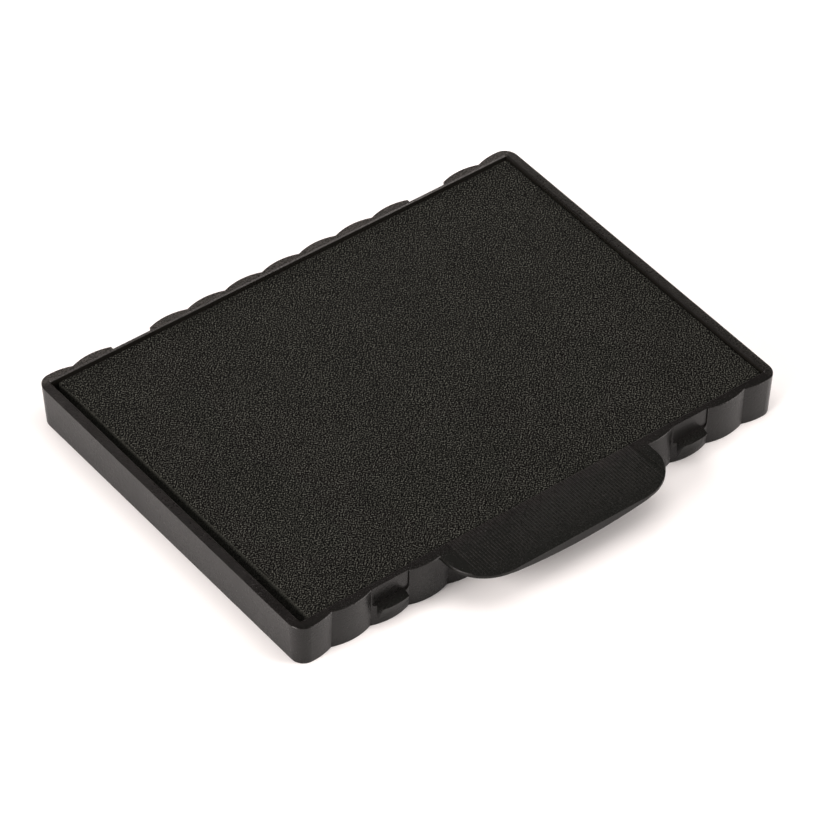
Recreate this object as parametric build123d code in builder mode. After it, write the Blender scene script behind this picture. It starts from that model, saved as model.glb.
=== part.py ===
from build123d import *
import os
from math import sqrt

# Swap pad for a self-inking office stamp: a shallow scalloped tray that holds an ink pad stack.
# Millimetres. The origin is the centre of the tray's underside. +X runs along the tray's long
# side, +Y points to the back, away from the pull handle, and +Z points up, out of the pad.

os.makedirs("parts", exist_ok=True)

# ---- tray ---------------------------------------------------------------------------------
PITCH = 6.0                 # spacing of the scallops along the long sides
LOBES = 13                  # scallops on each long side
HEIGHT = 6.2                # underside to rim
HALF_WIDTH = 38.44          # half the length along X, at the rim
HALF_WIDTH_FOOT = 38.08     # the same at the underside, because the short sides have draft
CUSP_Y = 27.0               # distance of the cusps between scallops from the centre line
BULGE = 0.54                # how far a scallop stands out past its cusps
BACK_LEAN = 0.6             # how far the back wall leans in from the rim to the underside
CORNER_RADIUS = 2.0         # of the four corners, at the rim
CORNER_RADIUS_FOOT = 1.8    # the same at the underside
EDGE_BREAK = 0.06           # bevel along the outer edges of the rim and the underside

# ---- pocket for the pad -------------------------------------------------------------------
POCKET_LEFT_X = -37.02      # places of its four walls
POCKET_RIGHT_X = 37.18
POCKET_FRONT_Y = -25.95
POCKET_BACK_Y = 26.25
POCKET_RADIUS = 0.2
POCKET_BEVEL = 0.16
FLOOR = 1.2

# ---- plain stretches on the back, notches and snap noses on the front ---------------------
CATCH_X = 4 * PITCH         # centre of each of them, left and right
PLAIN_Y = 26.5              # distance of the plain stretches from the centre line
PLAIN_HALF_WIDTH = 3.05     # a whole scallop is left out on the back
NOTCH_Y = 26.9              # distance of the wall in the notch from the centre line
NOTCH_HALF_WIDTH = 2.86
NOTCH_RADIUS = 0.5
SHELF_Z = 3.3               # foot of the notch, and top of the snap nose
NOSE_REACH = 1.5            # how far the nose stands out past the cusps
NOSE_FOOT_Z = 0.8           # where its sloping face runs into the scallop
NOSE_FOOT_REACH = 0.5
NOSE_HALF_ROOT = 2.3
NOSE_HALF_TIP = 1.98
NOSE_CROWN = 0.22           # bow of the nose's front edge
NOSE_ROOT_DEPTH = 0.3       # how deep the nose is rooted in the wall

# ---- pull handle --------------------------------------------------------------------------
HANDLE_HALF_WIDTH = 16.7
HANDLE_REACH = 34.5         # distance of the front edge from the centre line
HANDLE_CORNER_X = 6.5       # the corners are quarters of an ellipse
HANDLE_CORNER_Y = 5.6
HANDLE_PLATE = 0.5          # thickness towards the ends
HANDLE_THICK_MIDDLE = 1.4   # thickness over the belly on the underside
BELLY_HALF_WIDTH = 11.2
HANDLE_EDGE_BREAK = 0.12

# ---- ridged grip field on the handle ------------------------------------------------------
FIELD_HALF_ROOT = 14.9      # half its width at the rim
FIELD_HALF_FRONT = 15.5     # half its width at the handle's front edge
FIELD_DEPTH = 0.1
GROOVE_PITCH = 0.45
GROOVE_WIDTH = 0.32
GROOVE_DEPTH = 0.1
GROOVE_RUN = 7.6            # length over which a groove runs out to nothing

# ---- underside ----------------------------------------------------------------------------
LABEL_SIZE = (30.0, 9.0)    # blank label panel
LABEL_Y = 13.0
LABEL_RADIUS = 1.0
LABEL_DEPTH = 0.2
PIN_RADIUS = 1.75           # ejector pin marks
PIN_DEPTH = 0.12
PIN_SPACING = (60.0, 38.0)
GATE_Y = -12.0              # dished spot with the stub of the moulding gate
GATE_DISH_RADIUS = 2.5
GATE_DISH_DEPTH = 0.35
GATE_STUB_RADIUS = 0.8
GATE_STUB_HEIGHT = 0.25

# ---- pad stack ----------------------------------------------------------------------------
PAD_GAP_LEFT_FRONT = 1.55   # from the pad to the pocket's walls: it sits to the right, and
PAD_GAP_LEFT_BACK = 1.2     # its left side is cut a little out of square
PAD_GAP_RIGHT = 0.06
PAD_GAP_FRONT = 0.1
PAD_GAP_BACK = 0.15
PAD_CORNER_RADIUS = 0.5
FILM_THICK = 0.15
FELT_THICK = 2.2
FOAM_THICK = 1.8
CLOTH_THICK = 0.4
CLOTH_EDGE_RADIUS = 0.3
FILM_MARGIN = 0.2           # from the film's edge to the pad's outside

# ---- lengths worked out from the ones above -----------------------------------------------
LOBE_RADIUS = ((PITCH / 2) ** 2 + BULGE ** 2) / (2 * BULGE)
LOBE_CENTRE_Y = CUSP_Y + BULGE - LOBE_RADIUS
POCKET_CENTRE = ((POCKET_LEFT_X + POCKET_RIGHT_X) / 2, (POCKET_FRONT_Y + POCKET_BACK_Y) / 2)
POCKET_SIZE = (POCKET_RIGHT_X - POCKET_LEFT_X, POCKET_BACK_Y - POCKET_FRONT_Y)
HANDLE_ROOT_Y = POCKET_BEVEL - POCKET_FRONT_Y
PAD_LEFT_FRONT_X = POCKET_LEFT_X + PAD_GAP_LEFT_FRONT
PAD_LEFT_BACK_X = POCKET_LEFT_X + PAD_GAP_LEFT_BACK
PAD_RIGHT_X = POCKET_RIGHT_X - PAD_GAP_RIGHT
PAD_FRONT_Y = POCKET_FRONT_Y + PAD_GAP_FRONT
PAD_BACK_Y = POCKET_BACK_Y - PAD_GAP_BACK
FELT_Z = FLOOR + FILM_THICK
FOAM_Z = FELT_Z + FELT_THICK
CLOTH_Z = FOAM_Z + FOAM_THICK


def lobe_y(distance, inset):
    """Distance from the centre line to a scallop, at this distance along X from its middle."""
    return LOBE_CENTRE_Y + sqrt((LOBE_RADIUS - inset) ** 2 - distance ** 2)


def tray_section(z, half_width, inset):
    """Plan section of the tray at a height: scalloped long sides and four round corners."""
    share = z / HEIGHT
    corner_radius = CORNER_RADIUS_FOOT + (CORNER_RADIUS - CORNER_RADIUS_FOOT) * share
    back_shift = BACK_LEAN * (1 - share)
    side_x = half_width - inset
    cusp_y = lobe_y(PITCH / 2, inset)
    crest_y = lobe_y(0, inset)
    corner_y = lobe_y(side_x - (LOBES - 1) / 2 * PITCH, inset)
    with BuildSketch(Plane.XY.offset(z)) as section:
        with BuildLine():
            for side, shift in ((1, -back_shift), (-1, 0)):
                for lobe in range(LOBES):
                    middle = (lobe - (LOBES - 1) / 2) * PITCH
                    start = (max(middle - PITCH / 2, -side_x), side * cusp_y + shift)
                    end = (min(middle + PITCH / 2, side_x), side * cusp_y + shift)
                    if lobe == 0:
                        start = (-side_x, side * corner_y + shift)
                    if lobe == LOBES - 1:
                        end = (side_x, side * corner_y + shift)
                    ThreePointArc(start, (middle, side * crest_y + shift), end)
            Line((-side_x, -corner_y), (-side_x, corner_y - back_shift))
            Line((side_x, -corner_y), (side_x, corner_y - back_shift))
        make_face()
        ends = section.vertices().group_by(Axis.X)
        fillet(ends[0] + ends[-1], radius=corner_radius - inset)
    return section.sketch


def nose_section(z, reach):
    """Plan section of a snap nose whose crowned front stands this far out past the cusps."""
    root_y = -NOTCH_Y + NOSE_ROOT_DEPTH
    tip_y = -(CUSP_Y + reach)
    corner_y = tip_y + NOSE_CROWN
    with BuildSketch(Plane.XY.offset(z)) as section:
        with BuildLine():
            Polyline(
                (-NOSE_HALF_TIP, corner_y),
                (-NOSE_HALF_ROOT, -CUSP_Y),
                (-NOSE_HALF_ROOT, root_y),
                (NOSE_HALF_ROOT, root_y),
                (NOSE_HALF_ROOT, -CUSP_Y),
                (NOSE_HALF_TIP, corner_y),
            )
            ThreePointArc((NOSE_HALF_TIP, corner_y), (0, tip_y), (-NOSE_HALF_TIP, corner_y))
        make_face()
    return section.sketch


def pad_section(z, inset):
    """Plan section of the pad stack at a height, set in from the cloth's outside."""
    with BuildSketch(Plane.XY.offset(z)) as section:
        Polygon(
            (PAD_LEFT_FRONT_X + inset, PAD_FRONT_Y + inset),
            (PAD_RIGHT_X - inset, PAD_FRONT_Y + inset),
            (PAD_RIGHT_X - inset, PAD_BACK_Y - inset),
            (PAD_LEFT_BACK_X + inset, PAD_BACK_Y - inset),
            align=None,
        )
        fillet(section.vertices(), radius=PAD_CORNER_RADIUS - inset)
    return section.sketch


# ---- snap nose, made once at the middle and set at both catches ---------------------------
with BuildPart() as nose:
    nose_foot = nose_section(NOSE_FOOT_Z, NOSE_FOOT_REACH)
    nose_top = nose_section(SHELF_Z, NOSE_REACH)
    loft(sections=[nose_foot, nose_top], ruled=True)

# ---- pull handle: a flat plate with a shallow rounded belly under its middle --------------
with BuildPart() as handle:
    with BuildSketch(Plane.XY.offset(HEIGHT - HANDLE_THICK_MIDDLE)):
        with BuildLine():
            corner_middle_x = HANDLE_HALF_WIDTH - HANDLE_CORNER_X
            corner_middle_y = -(HANDLE_REACH - HANDLE_CORNER_Y)
            Line((-HANDLE_HALF_WIDTH, corner_middle_y), (-HANDLE_HALF_WIDTH, -HANDLE_ROOT_Y))
            Line((-HANDLE_HALF_WIDTH, -HANDLE_ROOT_Y), (HANDLE_HALF_WIDTH, -HANDLE_ROOT_Y))
            Line((HANDLE_HALF_WIDTH, -HANDLE_ROOT_Y), (HANDLE_HALF_WIDTH, corner_middle_y))
            EllipticalCenterArc(
                (corner_middle_x, corner_middle_y),
                HANDLE_CORNER_X,
                HANDLE_CORNER_Y,
                start_angle=270,
                arc_size=90,
            )
            Line((corner_middle_x, -HANDLE_REACH), (-corner_middle_x, -HANDLE_REACH))
            EllipticalCenterArc(
                (-corner_middle_x, corner_middle_y),
                HANDLE_CORNER_X,
                HANDLE_CORNER_Y,
                start_angle=180,
                arc_size=90,
            )
        make_face()
    extrude(amount=HANDLE_THICK_MIDDLE)
    top_edges = handle.faces().sort_by(Axis.Z)[-1].edges().sort_by(Axis.Y)[:-1]
    chamfer(top_edges, length=HANDLE_EDGE_BREAK)
    with BuildSketch(Plane.XZ):
        with BuildLine():
            plate_z = HEIGHT - HANDLE_PLATE
            Polyline(
                (-BELLY_HALF_WIDTH, plate_z),
                (-HANDLE_HALF_WIDTH, plate_z),
                (-HANDLE_HALF_WIDTH, HEIGHT),
                (HANDLE_HALF_WIDTH, HEIGHT),
                (HANDLE_HALF_WIDTH, plate_z),
                (BELLY_HALF_WIDTH, plate_z),
            )
            ThreePointArc(
                (BELLY_HALF_WIDTH, plate_z),
                (0, HEIGHT - HANDLE_THICK_MIDDLE),
                (-BELLY_HALF_WIDTH, plate_z),
            )
        make_face()
    extrude(amount=HANDLE_REACH, mode=Mode.INTERSECT)

# ---- tray: one moulding with the rim, floor, noses and handle -----------------------------
with BuildPart() as tray:
    draft_in_bevel = (HALF_WIDTH - HALF_WIDTH_FOOT) * EDGE_BREAK / HEIGHT
    foot = tray_section(0, HALF_WIDTH_FOOT, EDGE_BREAK)
    wall_foot = tray_section(EDGE_BREAK, HALF_WIDTH_FOOT + draft_in_bevel, 0)
    wall_top = tray_section(HEIGHT - EDGE_BREAK, HALF_WIDTH - draft_in_bevel, 0)
    rim = tray_section(HEIGHT, HALF_WIDTH, EDGE_BREAK)
    loft(sections=[foot, wall_foot], ruled=True)
    loft(sections=[wall_foot, wall_top], ruled=True)
    loft(sections=[wall_top, rim], ruled=True)

    # snap noses, then the notch over each of them
    with Locations((-CATCH_X, 0), (CATCH_X, 0)):
        add(nose.part)
    with BuildSketch(Plane.XZ.offset(NOTCH_Y)):
        with Locations((-CATCH_X, SHELF_Z), (CATCH_X, SHELF_Z)):
            RectangleRounded(
                2 * NOTCH_HALF_WIDTH,
                2 * HEIGHT,
                NOTCH_RADIUS,
                align=(Align.CENTER, Align.MIN),
            )
    extrude(amount=2 * PITCH, mode=Mode.SUBTRACT)

    # plain stretches of the back wall, where a scallop is left out
    with BuildSketch(Plane.XY):
        with Locations((-CATCH_X, PLAIN_Y), (CATCH_X, PLAIN_Y)):
            Rectangle(2 * PLAIN_HALF_WIDTH, PITCH, align=(Align.CENTER, Align.MIN))
    extrude(amount=HEIGHT, mode=Mode.SUBTRACT)

    add(handle.part)

    # pocket for the pad, with a bevelled mouth
    with BuildSketch(Plane.XY.offset(FLOOR)):
        with Locations(POCKET_CENTRE):
            RectangleRounded(*POCKET_SIZE, POCKET_RADIUS)
    extrude(amount=HEIGHT - FLOOR, mode=Mode.SUBTRACT)
    with BuildSketch(Plane.XY.offset(HEIGHT - POCKET_BEVEL)):
        with Locations(POCKET_CENTRE):
            RectangleRounded(*POCKET_SIZE, POCKET_RADIUS)
    extrude(amount=POCKET_BEVEL, taper=-45, mode=Mode.SUBTRACT)

    # grip field: a shallow step down, then fine grooves that run out towards the front edge
    with BuildSketch(Plane.XY.offset(HEIGHT - FIELD_DEPTH)):
        Polygon(
            (-FIELD_HALF_ROOT, POCKET_FRONT_Y),
            (-FIELD_HALF_FRONT, -HANDLE_REACH),
            (FIELD_HALF_FRONT, -HANDLE_REACH),
            (FIELD_HALF_ROOT, POCKET_FRONT_Y),
            align=None,
        )
    extrude(amount=2 * FIELD_DEPTH, mode=Mode.SUBTRACT)
    groove_count = int((2 * FIELD_HALF_ROOT - GROOVE_WIDTH) / GROOVE_PITCH)
    groove_plane = Plane(
        origin=(0, POCKET_FRONT_Y, HEIGHT - FIELD_DEPTH),
        x_dir=(1, 0, 0),
        z_dir=(0, -1, 0),
    )
    with BuildSketch(groove_plane):
        with GridLocations(GROOVE_PITCH, 1, groove_count, 1):
            Polygon(
                (-GROOVE_WIDTH / 2, 0),
                (0, -GROOVE_DEPTH),
                (GROOVE_WIDTH / 2, 0),
                align=None,
            )
    extrude(amount=GROOVE_RUN, dir=(0, -GROOVE_RUN, GROOVE_DEPTH), mode=Mode.SUBTRACT)

    # underside: blank label panel, ejector pin marks and the dished gate spot
    with BuildSketch(Plane.XY):
        with Locations((0, LABEL_Y)):
            RectangleRounded(*LABEL_SIZE, LABEL_RADIUS)
    extrude(amount=LABEL_DEPTH, mode=Mode.SUBTRACT)
    with BuildSketch(Plane.XY):
        with GridLocations(*PIN_SPACING, 2, 2):
            Circle(PIN_RADIUS)
    extrude(amount=PIN_DEPTH, mode=Mode.SUBTRACT)
    with BuildSketch(Plane.XY):
        with Locations((0, GATE_Y)):
            Circle(GATE_DISH_RADIUS)
            Circle(GATE_STUB_RADIUS, mode=Mode.SUBTRACT)
    extrude(amount=GATE_DISH_DEPTH, mode=Mode.SUBTRACT)
    with BuildSketch(Plane.XY):
        with Locations((0, GATE_Y)):
            Circle(GATE_STUB_RADIUS)
    extrude(amount=GATE_DISH_DEPTH - GATE_STUB_HEIGHT, mode=Mode.SUBTRACT)

# ---- pad stack, from the floor up ---------------------------------------------------------
with BuildPart() as adhesive_film:
    add(pad_section(FLOOR, FILM_MARGIN))
    extrude(amount=FILM_THICK)

with BuildPart() as reservoir_felt:
    add(pad_section(FELT_Z, CLOTH_THICK))
    extrude(amount=FELT_THICK)

with BuildPart() as foam_layer:
    add(pad_section(FOAM_Z, CLOTH_THICK))
    extrude(amount=FOAM_THICK)

# the cloth lies over the foam and is turned down round the stack to the film
with BuildPart() as cover_cloth:
    add(pad_section(FELT_Z, 0))
    extrude(amount=CLOTH_Z + CLOTH_THICK - FELT_Z)
    fillet(cover_cloth.faces().sort_by(Axis.Z)[-1].edges(), radius=CLOTH_EDGE_RADIUS)
    add(pad_section(FELT_Z, CLOTH_THICK))
    extrude(amount=CLOTH_Z - FELT_Z, mode=Mode.SUBTRACT)

# ---- files --------------------------------------------------------------------------------
tray.part.label = "tray"
export_step(tray.part, "parts/tray.step")

adhesive_film.part.label = "adhesive_film"
export_step(adhesive_film.part, "parts/adhesive_film.step")

reservoir_felt.part.label = "reservoir_felt"
export_step(reservoir_felt.part, "parts/reservoir_felt.step")

foam_layer.part.label = "foam_layer"
export_step(foam_layer.part, "parts/foam_layer.step")

cover_cloth.part.label = "cover_cloth"
export_step(cover_cloth.part, "parts/cover_cloth.step")
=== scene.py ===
import math

import bmesh
import bpy
from mathutils import Euler, Matrix, Vector, noise


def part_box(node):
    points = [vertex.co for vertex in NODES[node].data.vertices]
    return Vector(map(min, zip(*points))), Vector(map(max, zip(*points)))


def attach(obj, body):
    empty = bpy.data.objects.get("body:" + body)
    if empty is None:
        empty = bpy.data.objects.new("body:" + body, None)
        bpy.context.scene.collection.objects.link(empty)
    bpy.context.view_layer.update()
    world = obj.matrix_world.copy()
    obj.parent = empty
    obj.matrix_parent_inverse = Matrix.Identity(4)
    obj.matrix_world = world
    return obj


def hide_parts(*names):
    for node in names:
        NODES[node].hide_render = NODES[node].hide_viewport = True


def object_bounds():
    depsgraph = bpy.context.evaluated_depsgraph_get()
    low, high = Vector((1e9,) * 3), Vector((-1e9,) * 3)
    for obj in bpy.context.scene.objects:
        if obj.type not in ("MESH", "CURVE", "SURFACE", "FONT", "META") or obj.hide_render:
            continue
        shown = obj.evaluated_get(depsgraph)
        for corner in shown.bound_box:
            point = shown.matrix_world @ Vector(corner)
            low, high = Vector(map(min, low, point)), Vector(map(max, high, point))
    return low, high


# Swap pad for a self-inking stamp. Metres, in the frame of the CAD model: +X along the tray's
# long side, +Y to the back, away from the pull handle, and +Z up.

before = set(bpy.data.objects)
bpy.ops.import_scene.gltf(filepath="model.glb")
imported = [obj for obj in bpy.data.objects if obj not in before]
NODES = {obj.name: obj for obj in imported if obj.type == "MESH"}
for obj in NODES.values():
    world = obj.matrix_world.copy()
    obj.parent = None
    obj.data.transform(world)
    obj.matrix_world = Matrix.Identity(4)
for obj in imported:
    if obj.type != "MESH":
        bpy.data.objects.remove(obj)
cad_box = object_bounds()

MM = 0.001

# ---- camera -------------------------------------------------------------------------------
CAMERA_AZIMUTH = math.radians(-39.747)
CAMERA_ELEVATION = math.radians(43.572)
CAMERA_ROLL = math.radians(2.313)
CAMERA_DISTANCE = 628.2 * MM
CAMERA_LENS = 217.24
SENSOR_WIDTH = 36               # in millimetres, like the lens
AIM = Vector((0, 0.504, 0)) * MM
SLIDE_RIGHT = 0.33 * MM         # small moves of the camera across its own view
SLIDE_UP = 0.37 * MM
NEAREST = 0.01                  # the camera sees nothing nearer or further than these
FURTHEST = 20

# ---- cover cloth --------------------------------------------------------------------------
CELL = 1.0 * MM                 # the coarse cloth mesh, away from its edges
CELLS_DOWN = 3                  # rows down each side
CORNER = 0.45 * MM              # seen from above
ROUND_LEFT = 0.22 * MM          # how round the top's four edges are
ROUND_RIGHT = 0.18 * MM
ROUND_FRONT = 0.15 * MM
ROUND_BACK = 0.20 * MM
ROUND_STEPS = 3
CUT_FRONT = 0.35 * MM           # how far the left side is cut in at its front end
CORNER_FLARE = 0.3 * MM         # how far the back left corner is pressed out
FLARE_LENGTH = 3.0 * MM
CUT_FADE = 6.0 * MM             # width of the strip that the cut and the flare change
CLOTH_THICK = 0.4 * MM
SLACK = 0.04 * MM               # the pad starts this much smaller, and then swells
CROWN = 0.25 * MM               # the furthest that the cloth swells
FINE_LEVELS = 2                 # subdivisions of the coarse mesh
NAP_FADE = 1.5 * MM             # the nap fades out over this height at the foot
NAP_LAYERS = (                  # waves per millimetre, height in millimetres, and a shift
    (1.9, 0.018, (0, 0, 0)),
    (3.7, 0.030, (7, 3, 1)),
    (0.16, 0.030, (2, 5, 9)),
)

# ---- textures -----------------------------------------------------------------------------
TURN = Euler((0.61, 0.47, 0.35))    # keeps level faces out of the planes of a noise's lattice
NOISE_LOW = 0.3                     # most of a noise lies between these
NOISE_HIGH = 0.7

# ---- where the tray's finish, painted sheen and painted light change, from none to full, in millimetres ---
BACK_SHEEN_Y = (26.0, 26.6)
RIGHT_RIM_X = (36.8, 38.2)
FAINT_SHEEN_Y = (-27.0, 12.0)
POLISH_Y = (8.0, -26.0)
HANDLE_TOP_Y = (-26.4, -28.0)
HANDLE_EDGE_Y = (-27.8, -29.5)
POCKET_HALF_X = (37.3, 37.25)
POCKET_HALF_Y = (26.35, 26.3)
POCKET_TOP_Z = (6.06, 6.0)

# ---- cloth solver -------------------------------------------------------------------------
SOLVER_SCALE = 20               # the solver works on a model this many times larger
SOLVER_FRAMES = 20
SOLVER_PRESSURE = 4.0

# ---- floor and light ----------------------------------------------------------------------
FLOOR_RADIUS = 1.6
FLOOR_SIDES = 96
FLOOR_GAP = 0.01 * MM           # keeps the floor's top from lying in the tray's underside
MIDDLE = Vector((0, 0, 0))      # of the tray's underside
LIGHT_COLOUR = (1.0, 0.925, 0.895)
ROOM_LIGHT = 0.10
WIDE = (0.7, 0.7)               # sizes of soft boxes
SQUARE = (0.6, 0.6)
UPRIGHT = (0.5, 0.35)
SMALL = (0.16, 0.04)
SOFT_BOXES = (                  # name, place, size and watts; each faces the middle of the tray
    ("overhead", (0, 0, 0.95), WIDE, 3.5),
    ("high_right", (0.36, -0.30, 0.88), SQUARE, 2.14),
    ("high_left", (-0.36, 0.30, 0.88), SQUARE, 0.78),
    ("left", (-0.863, -0.075, 0.50), UPRIGHT, 9.1),
    ("front_right", (0.663, -0.557, 0.50), UPRIGHT, 5.9),
    ("back", (-0.075, 0.863, 0.50), UPRIGHT, 3.1),
    ("low_back", (0.10, 0.20, 0.03), SMALL, 0.19),
)


def make_camera():
    """The photograph's viewpoint: in front and to the left, well above, through a long lens."""
    back = Vector((
        math.sin(CAMERA_AZIMUTH) * math.cos(CAMERA_ELEVATION),
        -math.cos(CAMERA_AZIMUTH) * math.cos(CAMERA_ELEVATION),
        math.sin(CAMERA_ELEVATION),
    ))
    level_right = (-back).cross(Vector((0, 0, 1))).normalized()
    level_up = level_right.cross(-back)
    roll = Matrix.Rotation(CAMERA_ROLL, 3, back)
    right = roll @ level_right
    up = roll @ level_up
    data = bpy.data.cameras.new("camera")
    data.lens = CAMERA_LENS
    data.sensor_width = SENSOR_WIDTH
    data.clip_start = NEAREST
    data.clip_end = FURTHEST
    camera = bpy.data.objects.new("camera", data)
    bpy.context.scene.collection.objects.link(camera)
    axes = Matrix((right, up, back)).transposed().to_4x4()
    place = AIM + back * CAMERA_DISTANCE + right * SLIDE_RIGHT + up * SLIDE_UP
    camera.matrix_world = Matrix.Translation(place) @ axes
    bpy.context.scene.camera = camera


class Recipe:
    """A material's node tree, built a node at a time around one Principled shader."""

    def __init__(self, name):
        self.material = bpy.data.materials.new(name)
        self.material.use_nodes = True
        self.tree = self.material.node_tree
        self.shader = self.tree.nodes["Principled BSDF"]
        self.place = self.add("ShaderNodeTexCoord").outputs["Object"]
        turned = self.add("ShaderNodeMapping")
        turned.inputs["Rotation"].default_value = TURN
        self.join(self.place, turned.inputs["Vector"])
        self.turned_place = turned.outputs["Vector"]

    def add(self, kind, **values):
        """A new node of this kind, with these properties set."""
        node = self.tree.nodes.new(kind)
        for key, value in values.items():
            setattr(node, key, value)
        return node

    def join(self, output, socket):
        self.tree.links.new(output, socket)

    def plug(self, socket, value):
        """Sets a socket to a number or links it to an output."""
        if isinstance(value, bpy.types.NodeSocket):
            self.join(value, socket)
        else:
            socket.default_value = value

    def noise(self, size, detail=2.0, roughness=0.5, stretch=(1, 1, 1), shift=(0, 0, 0)):
        """Smooth noise whose blobs are about this many millimetres across, from 0 to 1."""
        spread = self.add("ShaderNodeMapping")
        spread.inputs["Location"].default_value = shift
        spread.inputs["Scale"].default_value = stretch
        even = stretch == (1, 1, 1)
        self.join(self.turned_place if even else self.place, spread.inputs["Vector"])
        node = self.add("ShaderNodeTexNoise")
        node.inputs["Scale"].default_value = 1 / (size * MM)
        node.inputs["Detail"].default_value = detail
        node.inputs["Roughness"].default_value = roughness
        self.join(spread.outputs["Vector"], node.inputs["Vector"])
        return node.outputs["Fac"]

    def crisp_noise(self, size, detail, reach, share):
        """Noise less a share of the noise beside it, at this reach: it has no broad patches."""
        crisp = self.maths("ADD", self.noise(size, detail), share / 2)
        for way in ((1, 0, 0), (-1, 0, 0), (0, 1, 0), (0, -1, 0)):
            shift = TURN.to_matrix() @ Vector(way) * reach * MM
            beside = self.noise(size, detail, shift=shift)
            crisp = self.maths("SUBTRACT", crisp, self.maths("MULTIPLY", beside, share / 4))
        return crisp

    def cells(self, size):
        """Distance to the nearest of many scattered points, this many millimetres apart."""
        node = self.add("ShaderNodeTexVoronoi")
        node.inputs["Scale"].default_value = 1 / (size * MM)
        self.join(self.turned_place, node.inputs["Vector"])
        return node.outputs["Distance"]

    def maths(self, operation, a, b=0.0):
        """One sum on one or two numbers or outputs."""
        node = self.add("ShaderNodeMath", operation=operation)
        self.plug(node.inputs[0], a)
        self.plug(node.inputs[1], b)
        return node.outputs[0]

    def remap(self, value, low, high, to_low=0.0, to_high=1.0):
        """Carries the range low to high over to the range to_low to to_high, and stops there."""
        node = self.add("ShaderNodeMapRange")
        for key, number in (
            ("Value", value),
            ("From Min", low),
            ("From Max", high),
            ("To Min", to_low),
            ("To Max", to_high),
        ):
            self.plug(node.inputs[key], number)
        return node.outputs["Result"]

    def over_noise(self, value, to_low=0.0, to_high=1.0):
        """Carries a noise, whose ends are rare, over to another range."""
        return self.remap(value, NOISE_LOW, NOISE_HIGH, to_low, to_high)

    def split(self, vector):
        """A vector's outputs X, Y and Z."""
        node = self.add("ShaderNodeSeparateXYZ")
        self.join(vector, node.inputs[0])
        return node.outputs

    def facing(self):
        """Which way the surface faces, before any bumps."""
        return self.add("ShaderNodeNewGeometry").outputs["Normal"]

    def within(self, value, span):
        """0 at the first of two places in millimetres and before it, 1 from the second on."""
        return self.remap(value, span[0] * MM, span[1] * MM)

    def blend(self, share, first, second):
        """A colour between two others."""
        node = self.add("ShaderNodeMix", data_type="RGBA")
        self.plug(node.inputs["Factor"], share)
        for socket, colour in ((node.inputs[6], first), (node.inputs[7], second)):
            if isinstance(colour, tuple):
                colour = (*colour, 1.0)
            self.plug(socket, colour)
        return node.outputs[2]

    def bump(self, height, depth, before=None):
        """Bumps of this depth in millimetres, on top of an earlier bump if one is given."""
        node = self.add("ShaderNodeBump")
        node.inputs["Strength"].default_value = 1.0
        node.inputs["Distance"].default_value = depth * MM
        self.join(height, node.inputs["Height"])
        if before is not None:
            self.join(before, node.inputs["Normal"])
        return node.outputs["Normal"]

    def edges(self, radius):
        """1 along sharp edges, out to this radius in millimetres, and 0 on flat stretches."""
        bevel = self.add("ShaderNodeBevel", samples=4)
        bevel.inputs["Radius"].default_value = radius * MM
        compare = self.add("ShaderNodeVectorMath", operation="DOT_PRODUCT")
        self.join(bevel.outputs["Normal"], compare.inputs[0])
        self.join(self.facing(), compare.inputs[1])
        return self.remap(compare.outputs["Value"], 1.0, 0.85)

    def finish(self, colour, roughness, normal):
        """Links the shader to its three main inputs and returns the material."""
        self.join(colour, self.shader.inputs["Base Color"])
        self.join(roughness, self.shader.inputs["Roughness"])
        self.join(normal, self.shader.inputs["Normal"])
        return self.material


def painted_sheen_share(r, place, facing, level):
    """Painted sheen: grainy lighter colour on the back rim, less of it on the right rim, and a
    trace towards the back.
    """
    upward = r.remap(facing["Z"], 0.15, 0.45)
    at_back = r.maths("MULTIPLY", r.within(place["Y"], BACK_SHEEN_Y), upward)
    at_right = r.maths("MULTIPLY", r.within(place["X"], RIGHT_RIM_X), 0.5)
    to_back = r.maths("MULTIPLY", r.within(place["Y"], FAINT_SHEEN_Y), 0.10)
    on_level = r.maths("MULTIPLY", r.maths("MAXIMUM", at_right, to_back), level)
    return r.maths("MAXIMUM", on_level, at_back)


def pocket_light_share(r, place):
    """Painted light on the walls of the pocket, below its bevel, lifting their shade."""
    deep = r.within(place["Z"], POCKET_TOP_Z)
    inside_x = r.within(r.maths("ABSOLUTE", place["X"]), POCKET_HALF_X)
    inside_y = r.within(r.maths("ABSOLUTE", place["Y"]), POCKET_HALF_Y)
    return r.maths("MULTIPLY", deep, r.maths("MULTIPLY", inside_x, inside_y))


def greyer_share(r, place):
    """The right rim and the handle are a little greyer than the rest."""
    at_right = r.maths("MULTIPLY", r.within(place["X"], RIGHT_RIM_X), 0.5)
    on_handle = r.maths("MULTIPLY", r.within(place["Y"], HANDLE_TOP_Y), 0.5)
    return r.maths("MAXIMUM", at_right, on_handle)


def polished_share(r, place, level):
    """Level faces worn smoother towards the front, and most of all on the handle."""
    to_front = r.maths("MULTIPLY", r.within(place["Y"], POLISH_Y), 0.8)
    on_handle = r.maths("MULTIPLY", r.within(place["Y"], HANDLE_TOP_Y), 0.2)
    return r.maths("MULTIPLY", r.maths("ADD", to_front, on_handle), level)


def dull_share(r, place, facing, level):
    """Faces that look down, and less so the handle's edge."""
    undercut = r.remap(facing["Z"], -0.1, -0.3)
    edge = r.maths("SUBTRACT", r.within(place["Y"], HANDLE_EDGE_Y), level)
    return r.maths("MAXIMUM", undercut, r.maths("MULTIPLY", edge, 0.6))


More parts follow.
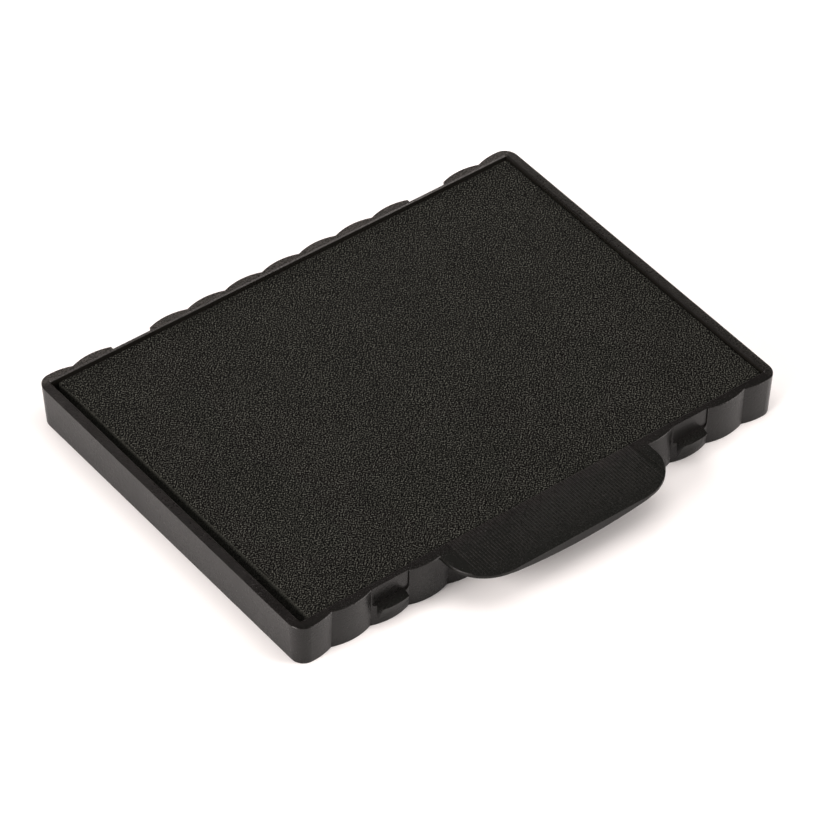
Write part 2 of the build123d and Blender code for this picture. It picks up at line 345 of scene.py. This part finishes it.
def moulded_black_plastic():
    """Black polystyrene: spark-eroded grain on level faces, smoother drafted sides, worn edges with
    a painted edge highlight, painted sheen on the back and right rims and painted light on the
    pocket walls.
    """
    r = Recipe("tray_plastic")
    place = r.split(r.place)
    facing = r.split(r.facing())
    level = r.remap(r.maths("ABSOLUTE", facing["Z"]), 0.6, 0.95)
    grain = r.noise(size=0.30, detail=2.0, roughness=0.6)
    pits = r.remap(r.cells(size=0.22), 0.0, 0.7)
    flow = r.noise(size=9.0, detail=4.0, stretch=(0.35, 1.0, 1.0))
    haze = r.noise(size=2.4, detail=5.0, roughness=0.65)
    # grainy pattern of the painted sheen on the rims
    dapple = r.remap(r.noise(size=0.19, detail=0.5), 0.36, 0.72)
    patches = r.remap(r.noise(size=0.7, detail=4.0), 0.38, 0.62)
    # edge mask: real wear, and also a painted highlight along sharp edges
    wear_and_highlight = r.maths("MULTIPLY", r.edges(radius=0.16), patches)
    painted_sheen = r.maths("MULTIPLY", dapple, painted_sheen_share(r, place, facing, level))
    dull = dull_share(r, place, facing, level)

    darkest = (0.0040, 0.0035, 0.0032)
    lightest = (0.0074, 0.0064, 0.0060)
    grey = (0.0057, 0.0070, 0.0056)
    # lighter edge colour: worn plastic and a painted edge highlight
    edge_wear_highlight = (0.026, 0.023, 0.021)
    # light colour of the painted sheen, standing for gloss on the back and right rims
    sheen_colour = (0.058, 0.054, 0.049)
    # lighter colour for the pocket walls: painted light in their shade
    pocket_light = (0.013, 0.012, 0.010)
    colour = r.blend(r.over_noise(haze), darkest, lightest)
    colour = r.blend(greyer_share(r, place), colour, grey)
    # worn edges, partly lightened as a painted edge highlight
    colour = r.blend(r.maths("MULTIPLY", wear_and_highlight, 0.6), colour, edge_wear_highlight)
    # painted sheen: the back and right rims are lighter, as though gloss catches the light there
    colour = r.blend(painted_sheen, colour, sheen_colour)
    # painted light: the pocket walls are lighter where they lie in shade
    colour = r.blend(pocket_light_share(r, place), colour, pocket_light)

    rough = r.remap(level, 0.0, 1.0, to_low=0.30, to_high=0.32)
    polish = r.maths("MULTIPLY", polished_share(r, place, level), 0.08)
    rough = r.maths("SUBTRACT", rough, polish)
    rough = r.maths("ADD", rough, r.over_noise(flow, to_low=-0.04, to_high=0.05))
    rough = r.maths("ADD", rough, r.over_noise(grain, to_low=-0.05, to_high=0.05))
    rough = r.maths("ADD", rough, r.maths("MULTIPLY", wear_and_highlight, 0.08))
    rough = r.maths("ADD", rough, r.maths("MULTIPLY", dull, 0.2))
    gloss = r.remap(dull, 0.0, 1.0, to_low=0.25, to_high=0.12)
    r.join(gloss, r.shader.inputs["Specular IOR Level"])

    height = r.maths("ADD", grain, r.maths("MULTIPLY", pits, 0.3))
    amount = r.remap(level, 0.0, 1.0, to_low=0.45, to_high=1.0)
    normal = r.bump(haze, depth=0.010)
    normal = r.bump(r.maths("MULTIPLY", height, amount), depth=0.045, before=normal)
    return r.finish(colour, rough, normal)


def inked_cloth():
    """Fine nap of a pad soaked in black ink: matt clumps of fibre between small dark pores, with
    painted light on its sides.
    """
    r = Recipe("ink_cloth")
    tufts = r.crisp_noise(size=0.17, detail=0.5, reach=0.20, share=0.7)
    pores = r.remap(r.cells(size=0.34), 0.05, 0.75)
    clouds = r.noise(size=7.0, detail=5.0, roughness=0.6)
    # the pad's sides: painted light, lighter where they lie in the shade of the gaps
    side = r.remap(r.split(r.facing())["Z"], 0.6, 0.1)

    soaked = (0.0006, 0.0006, 0.0005)
    fibre = (0.0725, 0.0745, 0.064)
    share = r.remap(tufts, 0.40, 0.74)
    share = r.maths("POWER", share, 2.0)
    share = r.maths("MULTIPLY", share, r.over_noise(clouds, to_low=0.90, to_high=1.10))
    # painted light: more fibre colour on the sides, lifting their shade
    share = r.maths("ADD", share, r.maths("MULTIPLY", side, 0.4))
    colour = r.blend(share, soaked, fibre)

    rough = r.remap(tufts, 0.35, 0.65, to_low=0.75, to_high=0.95)
    normal = r.bump(pores, depth=0.03)
    normal = r.bump(tufts, depth=0.12, before=normal)
    r.shader.inputs["Specular IOR Level"].default_value = 0.03
    r.shader.inputs["Sheen Weight"].default_value = 0.01
    r.shader.inputs["Sheen Roughness"].default_value = 0.5
    return r.finish(colour, rough, normal)


def inked_foam():
    """Open-cell foam, dark with ink."""
    r = Recipe("inked_foam")
    cells = r.cells(size=0.45)
    mottle = r.noise(size=3.0, detail=4.0)
    colour = r.blend(r.over_noise(mottle), (0.010, 0.010, 0.011), (0.024, 0.023, 0.023))
    rough = r.over_noise(mottle, to_low=0.7, to_high=0.9)
    normal = r.bump(cells, depth=0.15)
    return r.finish(colour, rough, normal)


def inked_felt():
    """Needled felt, dark with ink."""
    r = Recipe("inked_felt")
    fibres = r.noise(size=0.25, detail=5.0, roughness=0.7, stretch=(1, 1, 0.25))
    mottle = r.noise(size=4.0, detail=4.0)
    colour = r.blend(r.over_noise(mottle), (0.009, 0.009, 0.010), (0.020, 0.020, 0.021))
    rough = r.over_noise(mottle, to_low=0.8, to_high=0.95)
    normal = r.bump(fibres, depth=0.12)
    return r.finish(colour, rough, normal)


def adhesive_film():
    """Pale double-sided adhesive film."""
    r = Recipe("adhesive_film")
    ripple = r.noise(size=1.5, detail=3.0)
    colour = r.blend(r.over_noise(ripple), (0.70, 0.68, 0.60), (0.78, 0.76, 0.70))
    rough = r.over_noise(ripple, to_low=0.3, to_high=0.45)
    normal = r.bump(ripple, depth=0.02)
    return r.finish(colour, rough, normal)


def white_table():
    """Plain white table top."""
    r = Recipe("white_table")
    dapple = r.noise(size=30.0, detail=4.0)
    colour = r.blend(r.over_noise(dapple), (0.95, 0.95, 0.95), (0.965, 0.965, 0.965))
    rough = r.over_noise(dapple, to_low=0.62, to_high=0.7)
    normal = r.bump(dapple, depth=0.01)
    return r.finish(colour, rough, normal)


def give(obj, material):
    """Puts one material on an object, in place of whatever it came with."""
    obj.data.materials.clear()
    obj.data.materials.append(material)


def stations(length, round_low, round_high):
    """Places along one side of the pad, from 0 to its length, close together at its round edges."""
    low, high = [], []
    for step in range(ROUND_STEPS + 1):
        turn = math.pi / 2 * step / ROUND_STEPS
        low.append(round_low * (1 - math.cos(turn)))
        high.append(length - round_high * (1 - math.cos(turn)))
    gap = high[-1] - low[-1]
    count = round(gap / CELL)
    between = [low[-1] + gap * k / count for k in range(1, count)]
    return low + between + high[::-1]


def rounded_corner(x, y, size):
    """Pulls a place on a rectangle, which starts at 0, inside the rectangle's round corners."""
    over_x = max(CORNER - x, x - (size.x - CORNER))
    over_y = max(CORNER - y, y - (size.y - CORNER))
    if over_x > 0 and over_y > 0:
        pull = 1 - max(over_x, over_y) / math.hypot(over_x, over_y)
        x += math.copysign(over_x * pull, size.x / 2 - x)
        y += math.copysign(over_y * pull, size.y / 2 - y)
    return x, y


def hand_cut(x, y, size):
    """Moves a place near the pad's left side along X, as that side is cut out of square."""
    cut = CUT_FRONT * (1 - y / size.y)
    cut -= CORNER_FLARE * max(0.0, 1 - (size.y - y) / FLARE_LENGTH)
    return x + cut * max(0.0, 1 - x / CUT_FADE), y


def edge_drop(distance, radius):
    """How far a round edge has fallen at this distance in from the side."""
    inside = max(0.0, radius - distance)
    return radius - math.sqrt(radius ** 2 - inside ** 2)


def coarse_pad(low, high):
    """Pad as bmesh: a grid over the top, rows down the sides, and an open underside."""
    size = high - low
    across = stations(size.x, ROUND_LEFT, ROUND_RIGHT)
    along = stations(size.y, ROUND_FRONT, ROUND_BACK)
    last_x, last_y = len(across) - 1, len(along) - 1
    form = bmesh.new()
    grid = {}
    for i, x in enumerate(across):
        for j, y in enumerate(along):
            drop = max(
                edge_drop(x, ROUND_LEFT),
                edge_drop(size.x - x, ROUND_RIGHT),
                edge_drop(y, ROUND_FRONT),
                edge_drop(size.y - y, ROUND_BACK),
            )
            place_x, place_y = hand_cut(*rounded_corner(x, y, size), size)
            place = Vector((low.x + place_x, low.y + place_y, high.z - drop))
            grid[i, j] = form.verts.new(place)
    for i in range(last_x):
        for j in range(last_y):
            form.faces.new((grid[i, j], grid[i + 1, j], grid[i + 1, j + 1], grid[i, j + 1]))
    ring = [(i, 0) for i in range(last_x)]
    ring += [(last_x, j) for j in range(last_y)]
    ring += [(i, last_y) for i in range(last_x, 0, -1)]
    ring += [(0, j) for j in range(last_y, 0, -1)]
    top = [grid[place] for place in ring]
    above = top
    for row in range(1, CELLS_DOWN + 1):
        share = row / CELLS_DOWN
        below = []
        for start in top:
            z = start.co.z + (low.z - start.co.z) * share
            below.append(form.verts.new((start.co.x, start.co.y, z)))
        for k in range(len(ring)):
            after = (k + 1) % len(ring)
            form.faces.new((above[k], below[k], below[after], above[after]))
        above = below
    return form


def swell(mesh, furthest):
    """Inflates a pad mesh as cloth under pressure, held at its foot, and eases the moves down."""
    big = mesh.copy()
    big.transform(Matrix.Scale(SOLVER_SCALE, 4))
    form = bmesh.new()
    form.from_mesh(big)
    foot = [edge for edge in form.edges if edge.is_boundary]
    foot_indices = sorted({vert.index for edge in foot for vert in edge.verts})
    bmesh.ops.contextual_create(form, geom=foot)
    bmesh.ops.recalc_face_normals(form, faces=form.faces)
    form.to_mesh(big)
    form.free()

    model = bpy.data.objects.new("swelling_pad", big)
    bpy.context.scene.collection.objects.link(model)
    held = model.vertex_groups.new(name="held")
    held.add(foot_indices, 1.0, "REPLACE")
    cloth = model.modifiers.new("cloth", "CLOTH")
    cloth.settings.vertex_group_mass = "held"
    cloth.settings.use_pressure = True
    cloth.settings.uniform_pressure_force = SOLVER_PRESSURE
    cloth.settings.effector_weights.gravity = 0
    cloth.collision_settings.use_collision = False
    cloth.point_cache.frame_end = SOLVER_FRAMES
    for frame_number in range(1, SOLVER_FRAMES + 1):
        bpy.context.scene.frame_set(frame_number)
    graph = bpy.context.evaluated_depsgraph_get()
    swollen = bpy.data.meshes.new_from_object(model.evaluated_get(graph), depsgraph=graph)
    moves = [(new.co - old.co) / SOLVER_SCALE for new, old in zip(swollen.vertices, big.vertices)]
    share = min(1.0, furthest / max(move.length for move in moves))
    for vert, move in zip(mesh.vertices, moves):
        vert.co += move * share
    bpy.data.objects.remove(model)
    bpy.context.scene.frame_set(1)


def nap_height(point):
    """Height of the nap at a point, in millimetres: clumps, finer tufts and broad swells."""
    place = Vector(point) / MM
    height = 0
    for waves, depth, shift in NAP_LAYERS:
        height += depth * noise.noise(place * waves + Vector(shift))
    return height


def raise_nap(form, foot_z):
    """Moves each point of a fine mesh out by the height of the nap, and by nothing at the foot."""
    form.normal_update()
    moves = []
    for vert in form.verts:
        share = min(1.0, (vert.co.z - foot_z) / NAP_FADE)
        moves.append(vert.normal * nap_height(vert.co) * MM * share)
    for vert, move in zip(form.verts, moves):
        vert.co += move


def close_underside(form, low, high):
    """Turns the foot in under the cloth's thickness and takes the inside up to the foam's top."""
    middle = (low + high) / 2
    half = (high - low) / 2
    foot = [edge for edge in form.edges if edge.is_boundary]
    turned_in = bmesh.ops.extrude_edge_only(form, edges=foot)["geom"]
    for vert in (part for part in turned_in if isinstance(part, bmesh.types.BMVert)):
        vert.co.x = middle.x + (vert.co.x - middle.x) * (1 - CLOTH_THICK / half.x)
        vert.co.y = middle.y + (vert.co.y - middle.y) * (1 - CLOTH_THICK / half.y)
        vert.co.z = low.z
    inner_foot = [part for part in turned_in if isinstance(part, bmesh.types.BMEdge)]
    lifted = bmesh.ops.extrude_edge_only(form, edges=inner_foot)["geom"]
    for vert in (part for part in lifted if isinstance(part, bmesh.types.BMVert)):
        vert.co.z = high.z - CLOTH_THICK
    ceiling = [part for part in lifted if isinstance(part, bmesh.types.BMEdge)]
    bmesh.ops.contextual_create(form, geom=ceiling)
    bmesh.ops.recalc_face_normals(form, faces=form.faces)


def make_cover_cloth():
    """The ink-soaked cloth: swollen over the foam, round at its edges, with a fine nap."""
    low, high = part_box("cover_cloth")
    slack = Vector((SLACK, SLACK, 0))
    form = coarse_pad(low + slack, high - slack)
    mesh = bpy.data.meshes.new("ink_cloth")
    form.to_mesh(mesh)
    form.free()
    swell(mesh, CROWN)
    cloth = bpy.data.objects.new("ink_cloth", mesh)
    bpy.context.scene.collection.objects.link(cloth)
    smooth = cloth.modifiers.new("smooth", "SUBSURF")
    smooth.levels = FINE_LEVELS
    smooth.render_levels = FINE_LEVELS
    graph = bpy.context.evaluated_depsgraph_get()
    fine = bpy.data.meshes.new_from_object(cloth.evaluated_get(graph), depsgraph=graph)
    cloth.modifiers.clear()

    form = bmesh.new()
    form.from_mesh(fine)
    raise_nap(form, low.z)
    close_underside(form, low, high)
    for face in form.faces:
        face.smooth = len(face.verts) == 4
    form.to_mesh(mesh)
    form.free()
    give(cloth, inked_cloth())
    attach(cloth, "root")
    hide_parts("cover_cloth")


def dress_tray():
    """The moulded tray keeps its CAD shape."""
    give(NODES["tray"], moulded_black_plastic())


def make_floor():
    """A wide white table top just under the tray."""
    form = bmesh.new()
    bmesh.ops.create_circle(form, cap_ends=True, radius=FLOOR_RADIUS, segments=FLOOR_SIDES)
    mesh = bpy.data.meshes.new("floor")
    form.to_mesh(mesh)
    form.free()
    floor = bpy.data.objects.new("floor", mesh)
    floor.location.z = cad_box[0].z - FLOOR_GAP
    bpy.context.scene.collection.objects.link(floor)
    give(floor, white_table())


def soft_box(name, place, size, power):
    """A rectangular soft light at a place, turned to face the middle of the tray."""
    data = bpy.data.lights.new(name, "AREA")
    data.shape = "RECTANGLE"
    data.size, data.size_y = size
    data.energy = power
    data.color = LIGHT_COLOUR
    lamp = bpy.data.objects.new(name, data)
    lamp.location = place
    lamp.rotation_euler = (MIDDLE - lamp.location).to_track_quat("-Z", "Y").to_euler()
    bpy.context.scene.collection.objects.link(lamp)


def make_lights():
    """Soft boxes above and all round a table in a dim white room."""
    world = bpy.data.worlds.new("room")
    world.use_nodes = True
    background = world.node_tree.nodes["Background"]
    background.inputs["Color"].default_value = (1, 1, 1, 1)
    background.inputs["Strength"].default_value = ROOM_LIGHT
    bpy.context.scene.world = world
    for name, place, size, power in SOFT_BOXES:
        soft_box(name, place, size, power)


def plain_colours():
    """Shows the colours as they are, with no film curve."""
    bpy.context.scene.view_settings.view_transform = "Standard"
    bpy.context.scene.view_settings.look = "None"


make_camera()
plain_colours()
dress_tray()
give(NODES["adhesive_film"], adhesive_film())
give(NODES["reservoir_felt"], inked_felt())
give(NODES["foam_layer"], inked_foam())
make_cover_cloth()
make_floor()
make_lights()
